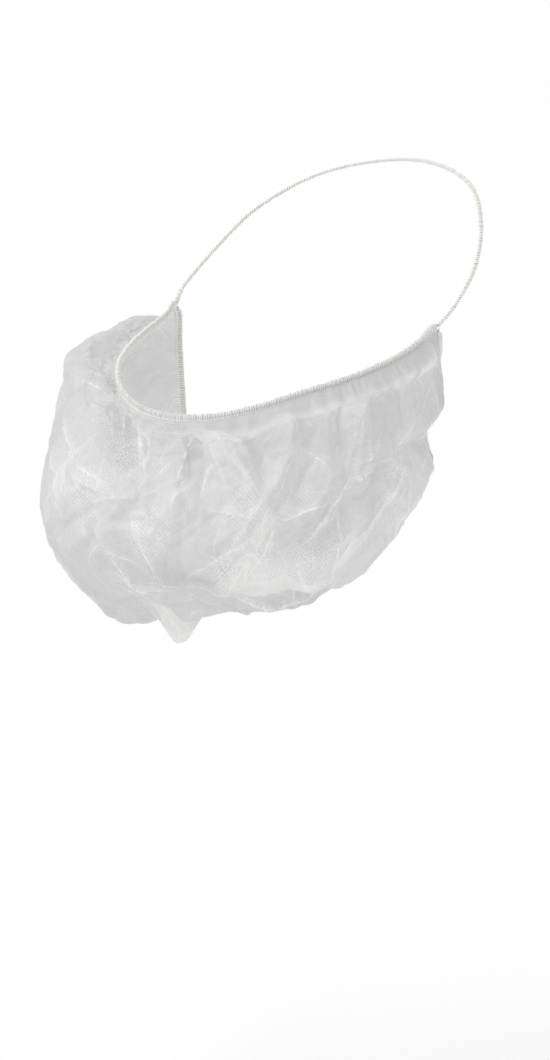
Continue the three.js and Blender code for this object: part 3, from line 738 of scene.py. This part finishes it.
# There it is evened downward, which softens steps across it and leaves the pleats that run down.
evenReach = cellsDown // 8
weights = np.exp(-((np.arange(-evenReach, evenReach + 1) / (0.5 * evenReach)) ** 2))
padded = np.pad(cloth, ((0, 0), (evenReach, evenReach), (0, 0)), "reflect", reflect_type="odd")
evened = sum(w * padded[:, k : k + cloth.shape[1]] for k, w in enumerate(weights / weights.sum()))
evenShare = 0.9 * drawn * np.exp(-((down / 0.24) ** 4))
cloth += evenShare[..., None] * (evened - cloth)

# The cloth runs into the hems, so its rim moves onto their lines.
insideShare = 0.75


def spreadOnto(values, count):
    return readAt(np.linspace(0, 1, count), np.linspace(0, 1, len(values)), values)


cloth[:, 0] = spreadOnto(faceFoot, cellsAcross + 1)
cloth[:, -1] += insideShare * (spreadOnto(underMiddle, cellsAcross + 1) - cloth[:, -1])
for column, middle in ((0, rightMiddle), (-1, leftMiddle)):
    rim = readAt(down[0], sideDown, middle)
    pull = insideShare * np.clip(down[0] / 0.03, 0, 1)[:, None]
    pull[-1] = 0
    cloth[column] += pull * (rim - cloth[column])


def hexColour(code):
    parts = [int(code[k : k + 2], 16) / 255 for k in (0, 2, 4)]
    return [*(c / 12.92 if c <= 0.04045 else ((c + 0.055) / 1.055) ** 2.4 for c in parts), 1]


def addNode(tree, kind, settings=None, **links):
    node = tree.nodes.new(kind)
    for name, value in (settings or {}).items():
        setattr(node, name, value)
    for name, value in links.items():
        key = int(name[1:]) if name[1:].isdigit() else name.replace("_", " ")
        socket = node.inputs[key]
        if isinstance(value, bpy.types.NodeSocket):
            tree.links.new(value, socket)
        else:
            socket.default_value = value
    return node


def newMaterial(name):
    material = bpy.data.materials.new(name)
    material.use_nodes = True
    material.node_tree.nodes.clear()
    return material, material.node_tree


# Each of these adds one kind of node and gives its output.
def addMath(tree, operation, first, *others, clamp=False):
    links = {f"_{k}": value for k, value in enumerate((first, *others))}
    return addNode(tree, "ShaderNodeMath", {"operation": operation, "use_clamp": clamp}, **links).outputs[0]


def addRange(tree, value, fromLow, fromHigh, toLow, toHigh):
    node = addNode(tree, "ShaderNodeMapRange", None, _0=value, _1=fromLow, _2=fromHigh, _3=toLow, _4=toHigh)
    return node.outputs[0]


def addNoise(tree, place, scale, **links):
    flat = {"noise_dimensions": "2D"}
    return addNode(tree, "ShaderNodeTexNoise", flat, Vector=place, Scale=scale, **links).outputs[0]


def addCells(tree, place, scale, randomness):
    flat = {"voronoi_dimensions": "2D"}
    node = addNode(tree, "ShaderNodeTexVoronoi", flat, Vector=place, Scale=scale, Randomness=randomness)
    return node.outputs["Distance"]


def addAttribute(tree, name):
    return addNode(tree, "ShaderNodeAttribute", {"attribute_name": name}).outputs["Fac"]


def addBump(tree, height, strength, distance):
    node = addNode(tree, "ShaderNodeBump", None, Height=height, Strength=strength, Distance=distance)
    return node.outputs[0]


def addPrincipled(tree, colour, roughness, **links):
    kind = "ShaderNodeBsdfPrincipled"
    return addNode(tree, kind, None, Base_Color=colour, Roughness=roughness, **links).outputs[0]


def showSurface(tree, shader):
    addNode(tree, "ShaderNodeOutputMaterial", None, Surface=shader)


def addMix(tree, share, low, high):
    return addNode(tree, "ShaderNodeMix", {"data_type": "RGBA"}, _0=share, _6=low, _7=high).outputs[2]


# Spunbond polypropylene, about 14 g per square metre: melt-spun fibres laid at random and bonded by a
# hot roller in small dots, so it is cloudy, lets light through and shows what lies behind it.
def spunbondMaterial(name, seeThrough, tint, denseAndHighlightTint):
    material, tree = newMaterial(name)
    coordinates = addNode(tree, "ShaderNodeUVMap", {"uv_map": "clothMillimetres"}).outputs[0]
    # Doubled places and creases are kept as distances from their edges, so that they draw crisply.
    layerEdge = addAttribute(tree, "layerEdge")
    layerShare = addAttribute(tree, "layerShare")
    lineAway = addAttribute(tree, "creaseAway")
    lineShare = addAttribute(tree, "creaseShare")
    layerMask = addRange(tree, layerEdge, -0.25, 0.25, 0.0, 1.0)
    layers = addMath(tree, "MULTIPLY", layerMask, layerShare)
    lineNear = addMath(tree, "ABSOLUTE", lineAway)
    lineCore = addRange(tree, lineNear, 0.4, 1.5, 1.0, 0.0)
    lineSide = addRange(tree, lineAway, 0.0, 0.4, 0.0, 0.4)
    lineGlow = addRange(tree, lineAway, 0.4, 7.0, 1.0, 0.0)
    lineSoft = addMath(tree, "MULTIPLY", lineSide, lineGlow)
    lineBoth = addMath(tree, "MAXIMUM", lineCore, lineSoft)
    lineWhole = addMath(tree, "MULTIPLY", lineBoth, lineShare)
    # A crease comes and goes along its length.
    broken = addNoise(tree, coordinates, 0.35, Detail=3.0)
    comes = addRange(tree, broken, 0.38, 0.62, 0.3, 0.9)
    lines = addMath(tree, "MULTIPLY", lineWhole, comes)
    cloud = addNoise(tree, coordinates, 0.22, Detail=5.0, Roughness=0.62)
    drawnOut = (0.9, 0.16, 1)
    streakPlace = addNode(tree, "ShaderNodeMapping", None, Vector=coordinates, Scale=drawnOut).outputs[0]
    streaks = addNoise(tree, streakPlace, 1.6, Detail=4.0, Roughness=0.7, Distortion=1.2)
    # Bond dots, in staggered rows. Real ones are 0.9 mm apart, too fine to show, so these are 1.2 mm apart.
    turned = (0, 0, math.radians(42))
    dotPlace = addNode(tree, "ShaderNodeMapping", None, Vector=coordinates, Rotation=turned).outputs[0]
    dots = addCells(tree, dotPlace, 0.82, 0.32)
    dotMask = addRange(tree, dots, 0.18, 0.34, 1.0, 0.0)
    density = addRange(tree, cloud, 0.3, 0.7, 0.055, -0.04)
    fine = addRange(tree, streaks, 0.3, 0.7, 0.05, -0.05)
    gaps = addMath(tree, "ADD", density, fine)
    # The dots catch the light in some places only.
    patches = addNoise(tree, coordinates, 0.045, Detail=2.0)
    patch = addRange(tree, patches, 0.42, 0.64, 0.1, 1.0)
    looseLayers = addAttribute(tree, "looseLayers")
    patchBoth = addMath(tree, "ADD", patch, looseLayers, clamp=True)
    lit = addMath(tree, "MULTIPLY", dotMask, patchBoth)
    # The share of holes: the bare cloth's own, less where it lies double or creased.
    dotted = addMath(tree, "MULTIPLY_ADD", dotMask, 0.08, gaps)
    base = addMath(tree, "ADD", dotted, seeThrough)
    covered = addMath(tree, "MULTIPLY_ADD", layers, -0.25, base)
    lined = addMath(tree, "MULTIPLY_ADD", lines, -0.25, covered, clamp=True)
    height = addMath(tree, "MULTIPLY_ADD", dotMask, -0.5, streaks)
    bump = addBump(tree, height, 0.35, 0.0001)
    # More fibres lie over each other where the cloth is doubled or creased, so it throws back more light.
    whiter = addMath(tree, "MULTIPLY_ADD", lit, 0.42, lines)
    # Loose layers are whiter; below the face hem this value carries the painted shade instead.
    whiter = addMath(tree, "MULTIPLY_ADD", looseLayers, 0.34, whiter)
    whiter = addMath(tree, "MULTIPLY_ADD", layers, 0.46, whiter)
    # Where the gathers are dense, painted shade darkens small pits between them, drawn as dashes.
    pitShadeCoordinates = addNode(
        tree,
        "ShaderNodeMapping",
        {"vector_type": "TEXTURE"},
        Vector=coordinates,
        Rotation=(0, 0, math.radians(-38)),
        Scale=(1.5, 0.8, 1),
    ).outputs[0]
    dash = addRange(tree, addCells(tree, pitShadeCoordinates, 1.05, 0.6), 0.14, 0.4, 1.0, 0.0)
    pittedShade = addMath(tree, "MULTIPLY", addAttribute(tree, "pitShare"), dash)
    whiter = addMath(tree, "MULTIPLY_ADD", pittedShade, -0.8, whiter)
    # In some folds the dots get a painted highlight, with a faint painted shade between them.
    dotWave = addRange(tree, dots, 0.18, 0.46, 0.6, -0.12)
    dotLight = addMath(tree, "MULTIPLY", addAttribute(tree, "brightDots"), dotWave)
    whiter = addMath(tree, "ADD", whiter, dotLight)
    whiter = addMath(tree, "ADD", whiter, 0.38, clamp=True)
    # The colour mixed here is the fibre's own, with the painted highlights on the dots and the painted
    # shade in the pits and below the face hem.
    fibreAndPaintedLight = addMix(tree, whiter, hexColour(tint), hexColour(denseAndHighlightTint))
    surface = addPrincipled(tree, fibreAndPaintedLight, 0.5, IOR=1.49, Normal=bump)
    through = addNode(tree, "ShaderNodeBsdfTranslucent", None, Color=fibreAndPaintedLight, Normal=bump).outputs[0]
    thin = addNode(tree, "ShaderNodeMixShader", None, _0=0.45, _1=surface, _2=through).outputs[0]
    hole = addNode(tree, "ShaderNodeBsdfTransparent", None, Color=(1, 1, 1, 1)).outputs[0]
    showSurface(tree, addNode(tree, "ShaderNodeMixShader", None, _0=lined, _1=thin, _2=hole).outputs[0])
    return material


# The same cloth rolled over the elastic, so thick that no light passes. It is painted darker where the
# stitches bite, as painted shade in the groove with the elastic showing through, and a little darker over
# the half between the grooves.
def rolledMaterial(name, tint, grooveShadeTint):
    material, tree = newMaterial(name)
    coordinates = addNode(tree, "ShaderNodeUVMap", {"uv_map": "clothMillimetres"}).outputs[0]
    fibres = addNoise(tree, coordinates, 2.4)
    bump = addBump(tree, fibres, 0.5, 0.0002)
    shade = addMix(tree, addAttribute(tree, "groove"), hexColour(tint), hexColour(grooveShadeTint))
    showSurface(tree, addPrincipled(tree, shade, 0.6, Normal=bump))
    return material


# Textured polyester overlock thread, spun white with a slight cream cast.
def threadMaterial(name, tint):
    material, tree = newMaterial(name)
    place = addNode(tree, "ShaderNodeTexCoord").outputs["Object"]
    twist = addNode(tree, "ShaderNodeTexNoise", None, Vector=place, Scale=2600.0, Detail=2.0).outputs[0]
    bump = addBump(tree, twist, 0.4, 0.00005)
    showSurface(tree, addPrincipled(tree, hexColour(tint), 0.7, Normal=bump))
    return material


# Cut synthetic rubber elastic, a milky strip that shows between the threads.
def elasticMaterial(name, tint):
    material, tree = newMaterial(name)
    showSurface(tree, addPrincipled(tree, hexColour(tint), 0.45, IOR=1.52))
    return material


materials = {
    "cloth": spunbondMaterial("spunbondCloth", 0.08, "c9c8c9", "fdfdfc"),
    "rolled": rolledMaterial("rolledSpunbond", "f6f6f4", "b3b1ac"),
    "thread": threadMaterial("overlockThread", "fefdfa"),
    "elastic": elasticMaterial("rubberElastic", "d2cec4"),
}


def setUv(mesh, values):
    layer = mesh.uv_layers.new(name="clothMillimetres")
    corners = np.empty(len(mesh.loops), int)
    mesh.loops.foreach_get("vertex_index", corners)
    layer.data.foreach_set("uv", values.reshape(-1, 2)[corners].ravel().tolist())


def setAttribute(mesh, name, values):
    layer = mesh.attributes.new(name, "FLOAT", "POINT")
    layer.data.foreach_set("value", values.ravel().tolist())


def shadeSmooth(mesh):
    mesh.polygons.foreach_set("use_smooth", [True] * len(mesh.polygons))
    mesh.update()


print("net")
netMesh = gridMesh("beardNet", cloth)
setUv(netMesh, np.stack([across * netPiece["halfLength"], down * netPiece["width"]], -1))
shown = {
    "looseLayers": looseAndHemShade,
    "pitShare": pitShade,
    "brightDots": brightDots,
    "layerEdge": layerEdge,
    "layerShare": layerShare,
    "creaseAway": creases["away"],
    "creaseShare": creases["share"],
}
for name, values in shown.items():
    setAttribute(netMesh, name, values)
netMesh.materials.append(materials["cloth"])
shadeSmooth(netMesh)
net = addObject("beardNet", netMesh)


spineStep = 0.8  # mm between the places of a hem's line


# A rolled hem: an oval tube along a line, with small puckers and a groove where the stitches bite.
def hemBody(name, line, away, halfHeight, halfThick, material, pucker, grooved=0):
    tangent = unit(np.gradient(line, axis=0))
    away = unit(away - (away * tangent).sum(-1, keepdims=True) * tangent)
    side = np.cross(tangent, away)
    sides = 20
    turn = np.linspace(0, 2 * math.pi, sides, endpoint=False)
    count = len(line)
    place = np.arange(count)[:, None]
    ends = np.clip(np.minimum(np.arange(count), count - 1 - np.arange(count)) / 6, 0, 1)[:, None] ** 0.5
    puffs = 1 + pucker * np.sin(place * 1.9 + 2 * np.sin(place * 0.23)) * np.cos(turn - 1)
    groove = np.clip(1 - np.abs(np.cos(turn) + 0.1) / 0.24, 0, 1) * grooved
    puffs = puffs * (1 - 0.2 * groove)
    tall = (halfHeight * np.cos(turn) * puffs * (0.55 + 0.45 * ends))[..., None]
    wide = (halfThick * np.sin(turn) * puffs * (0.55 + 0.45 * ends))[..., None]
    points = line[:, None] + tall * away[:, None] + wide * side[:, None]
    index = np.arange(count * sides).reshape(count, sides)
    beside = np.roll(index, -1, axis=1)
    faces = np.stack([index[:-1], beside[:-1], beside[1:], index[1:]], -1).reshape(-1, 4)
    mesh = bpy.data.meshes.new(name)
    caps = [index[0][::-1].tolist(), index[-1].tolist()]
    mesh.from_pydata((points.reshape(-1, 3) * mm).tolist(), [], faces.tolist() + caps)
    mesh.update()
    uv = [np.broadcast_to(values, points.shape[:2]) for values in (place * spineStep, turn)]
    setUv(mesh, np.stack(uv, -1))
    # Painted shade: darkest in the grooves, and a little over the half of the roll between them that faces
    # away from the cloth.
    shade = np.maximum(groove, 0.4 * grooved * (np.cos(turn) > -0.1))
    setAttribute(mesh, "groove", np.broadcast_to(shade, points.shape[:2]))
    mesh.materials.append(material)
    shadeSmooth(mesh)
    return addObject(name, mesh)


# The points and faces of a round tube along a path.
def tubeParts(path, radius, sides, closed):
    if closed:
        tangent = unit(np.roll(path, -1, axis=0) - np.roll(path, 1, axis=0))
    else:
        tangent = unit(np.gradient(path, axis=0))
    first = unit(np.cross(tangent, np.broadcast_to([0.31, 0.2, 0.93], tangent.shape)))
    second = np.cross(tangent, first)
    around = np.linspace(0, 2 * math.pi, sides, endpoint=False)
    points = path[:, None] + radius * (
        np.cos(around)[None, :, None] * first[:, None] + np.sin(around)[None, :, None] * second[:, None]
    )
    index = np.arange(len(path) * sides).reshape(len(path), sides)
    rows = (index, np.roll(index, -1, axis=0)) if closed else (index[:-1], index[1:])
    faces = np.stack([rows[0], rows[1], np.roll(rows[1], -1, 1), np.roll(rows[0], -1, 1)], -1)
    return points.reshape(-1, 3), faces.reshape(-1, 4)


# One turn of overlock thread, in mm: x runs along the hem, y in the hem's plane and z off it. The turn
# goes over the hem's edge and bites in at its foot. Below it runs a short stitch of needle thread.
def stitchMesh(name, top, foot, wide, slant, thread, needle):
    steps, sides = 16, 5
    turn = np.linspace(0, 2 * math.pi, steps, endpoint=False)
    rise = np.sign(np.cos(turn)) * np.abs(np.cos(turn)) ** 0.8
    path = np.stack(
        [
            slant * np.sin(turn) + 0.5 * slant * rise,
            (top + foot) / 2 + (top - foot) / 2 * rise,
            wide * np.sign(np.sin(turn)) * np.abs(np.sin(turn)) ** 0.6,
        ],
        -1,
    )
    points, faces = tubeParts(path, thread, sides, True)
    for front in needle[1:]:
        run = np.linspace(-1, 1, 5)[:, None]
        short = run * [0.36, 0.05, 0] + [0, needle[0], front]
        short[[0, -1], 2] -= 0.25 * np.sign(front)
        more, moreFaces = tubeParts(short, 0.2, 5, False)
        faces = np.vstack([faces, moreFaces + len(points)])
        points = np.vstack([points, more])
    mesh = bpy.data.meshes.new(name)
    mesh.from_pydata((points * mm).tolist(), [], faces.tolist())
    shadeSmooth(mesh)
    return mesh


# A tree that sets one stitch on each point of a hem's line, turned by the directions stored there.
def stitchTree():
    tree = bpy.data.node_groups.new("overlockRow", "GeometryNodeTree")
    inputs = {
        "Geometry": "NodeSocketGeometry",
        "Stitch": "NodeSocketObject",
        "Thread": "NodeSocketMaterial",
        "Unevenness": "NodeSocketFloat",
        "Seed": "NodeSocketInt",
    }
    for name, kind in inputs.items():
        tree.interface.new_socket(name, in_out="INPUT", socket_type=kind)
    tree.interface.new_socket("Geometry", in_out="OUTPUT", socket_type="NodeSocketGeometry")
    given = addNode(tree, "NodeGroupInput").outputs
    vector = {"data_type": "FLOAT_VECTOR"}
    along = addNode(tree, "GeometryNodeInputNamedAttribute", vector, Name="along").outputs[0]
    away = addNode(tree, "GeometryNodeInputNamedAttribute", vector, Name="away").outputs[0]
    axes = {"primary_axis": "X", "secondary_axis": "Y"}
    turn = addNode(tree, "FunctionNodeAxesToRotation", axes, _0=along, _1=away).outputs[0]
    lowTilt, highTilt = (-0.1, -0.22, -0.1), (0.1, 0.22, 0.1)
    tilt = addNode(tree, "FunctionNodeRandomValue", vector, _0=lowTilt, _1=highTilt, Seed=given["Seed"])
    local = {"rotation_space": "LOCAL"}
    tilted = addNode(tree, "FunctionNodeRotateRotation", local, _0=turn, _1=tilt.outputs[0]).outputs[0]
    low = addMath(tree, "SUBTRACT", 1.0, given["Unevenness"])
    high = addMath(tree, "ADD", 1.0, given["Unevenness"])
    number = {"data_type": "FLOAT"}
    size = addNode(tree, "FunctionNodeRandomValue", number, _2=low, _3=high, Seed=given["Seed"]).outputs[1]
    original = {"transform_space": "ORIGINAL"}
    stitch = addNode(tree, "GeometryNodeObjectInfo", original, Object=given["Stitch"])
    placed = addNode(
        tree,
        "GeometryNodeInstanceOnPoints",
        None,
        Points=given["Geometry"],
        Instance=stitch.outputs["Geometry"],
        Rotation=tilted,
        Scale=size,
    ).outputs[0]
    real = addNode(tree, "GeometryNodeRealizeInstances", None, Geometry=placed).outputs[0]
    dressed = addNode(tree, "GeometryNodeSetMaterial", None, Geometry=real, Material=given["Thread"])
    addNode(tree, "NodeGroupOutput", None, Geometry=dressed.outputs[0])
    return tree


overlockTree = stitchTree()


# A row of stitches along a hem's line, made by the tree and kept as a plain mesh.
def stitchRow(name, line, away, stitch, material, unevenness, seed):
    tangent = unit(np.gradient(line, axis=0))
    away = unit(away - (away * tangent).sum(-1, keepdims=True) * tangent)
    mesh = bpy.data.meshes.new(name + "Line")
    mesh.from_pydata((line * mm).tolist(), [], [])
    for key, values in (("along", tangent), ("away", away)):
        layer = mesh.attributes.new(key, "FLOAT_VECTOR", "POINT")
        layer.data.foreach_set("vector", values.ravel().tolist())
    guide = addObject(name + "Line", mesh)
    maker = addObject(name + "Stitch", stitch)
    row = guide.modifiers.new("overlockRow", "NODES")
    row.node_group = overlockTree
    given = {"Stitch": maker, "Thread": material, "Unevenness": unevenness, "Seed": seed}
    for socket in overlockTree.interface.items_tree:
        if socket.in_out == "INPUT" and socket.name in given:
            row[socket.identifier] = given[socket.name]
    graph = bpy.context.evaluated_depsgraph_get()
    made = bpy.data.meshes.new_from_object(guide.evaluated_get(graph), depsgraph=graph)
    guide.modifiers.remove(row)
    made.name = name
    for key in ("along", "away"):
        if key in made.attributes:
            made.attributes.remove(made.attributes[key])
    for spare in (guide, maker):
        data = spare.data
        bpy.data.objects.remove(spare)
        bpy.data.meshes.remove(data)
    shadeSmooth(made)
    return addObject(name, made)


print("hems")
hemPiece = {"tall": 1.75, "thick": 0.85, "pitch": 1.06, "thread": 0.24}
loopPiece = {"core": 0.58, "tall": 0.9, "pitch": 1.3, "thread": 0.28}
pitchScale = 1
bodies, rows = {}, {}
for name, line, away, tall, needle in (
    ("face", faceMiddle, faceAway, hemPiece["tall"], (-0.8, 1.12, -0.66)),
    ("throat", throatMiddle, throatAway, 0.9 * hemPiece["tall"], (-1.15, 0.66, -0.66)),
):
    thick = hemPiece["thick"]
    line, away = softened(line, 6), softened(away, 8)
    spine, out, length = evenly(line, away, spineStep)
    bodies[name] = hemBody(name + "HemRoll", spine, out, tall, thick, materials["rolled"], 0.1, 1)
    stitch = stitchMesh(
        name + "Stitch",
        top=tall + 0.12,
        foot=-0.35,
        wide=thick + 0.16,
        slant=0.16,
        thread=hemPiece["thread"],
        needle=needle,
    )
    spine, out, _ = evenly(line, away, hemPiece["pitch"] * pitchScale)
    row = (name + "HemStitches", spine[2:-2], out[2:-2], stitch)
    rows[name] = stitchRow(*row, materials["thread"], unevenness=0.07, seed=3)
    print(name, "hem length", round(length))

spine, out, loopLength = evenly(loopLine, loopOut, spineStep)
core, tall = loopPiece["core"], loopPiece["tall"]
bodies["loop"] = hemBody("loopElastic", spine, out, core * 1.2, core, materials["elastic"], 0.1)
stitch = stitchMesh(
    "loopStitch",
    top=tall,
    foot=-0.9 * tall,
    wide=0.8 * tall,
    slant=0.5,
    thread=loopPiece["thread"],
    needle=(),
)
spine, out, _ = evenly(loopLine, loopOut, loopPiece["pitch"] * pitchScale)
row = ("loopStitches", spine, out, stitch)
rows["loop"] = stitchRow(*row, materials["thread"], unevenness=0.16, seed=4)
print("loop length", round(loopLength))

print("stage")
# The whole picture is 1060 pixels tall, and at the net a pixel is 0.4427 mm.
picture = {"height": 1060, "pixel": 0.4427 * mm}
camera = bpy.data.cameras.new("camera")
camera.sensor_fit = "VERTICAL"
camera.sensor_height = 36
distance = 1.9
frameHeight = picture["height"] * picture["pixel"]
camera.lens = camera.sensor_height * distance / frameHeight
azimuth, elevation = math.radians(34), math.radians(10.5)
back = Vector(
    (math.sin(azimuth) * math.cos(elevation), -math.cos(azimuth) * math.cos(elevation), math.sin(elevation))
)
eye = addObject("camera", camera)
target = Vector((-5.7, -4.1, -90)) * mm
eye.location = target + back * distance
eye.rotation_euler = back.to_track_quat("Z", "Y").to_euler()
camera.clip_start = 0.05
camera.clip_end = 200
scene.camera = eye

floorMesh = bpy.data.meshes.new("floor")
floorHalf, floorLevel = 30, -0.36
corners = [(-1, -1), (1, -1), (1, 1), (-1, 1)]
floorMesh.from_pydata([(x * floorHalf, y * floorHalf, floorLevel) for x, y in corners], [], [(0, 1, 2, 3)])
floorMaterial, tree = newMaterial("palePaint")
showSurface(tree, addPrincipled(tree, hexColour("fbfbfb"), 0.9))
floorMesh.materials.append(floorMaterial)
floor = addObject("floor", floorMesh)

world = bpy.data.worlds.new("studio")
world.use_nodes = True
world.node_tree.nodes["Background"].inputs[0].default_value = (1, 1, 1, 1)
world.node_tree.nodes["Background"].inputs[1].default_value = 0.6
scene.world = world
scene.view_settings.view_transform = "Standard"

key = bpy.data.lights.new("keyLight", "SUN")
key.energy = 1.75
key.angle = math.radians(55)
lamp = addObject("keyLight", key)
lamp.rotation_euler = Vector((-0.42, -0.55, 0.95)).to_track_quat("Z", "Y").to_euler()

print("ties")
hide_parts("net_pouch")
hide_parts("face_hem")
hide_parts("throat_hem")
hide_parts("head_loop")
for piece in (net, *bodies.values(), *rows.values()):
    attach(piece, "root")
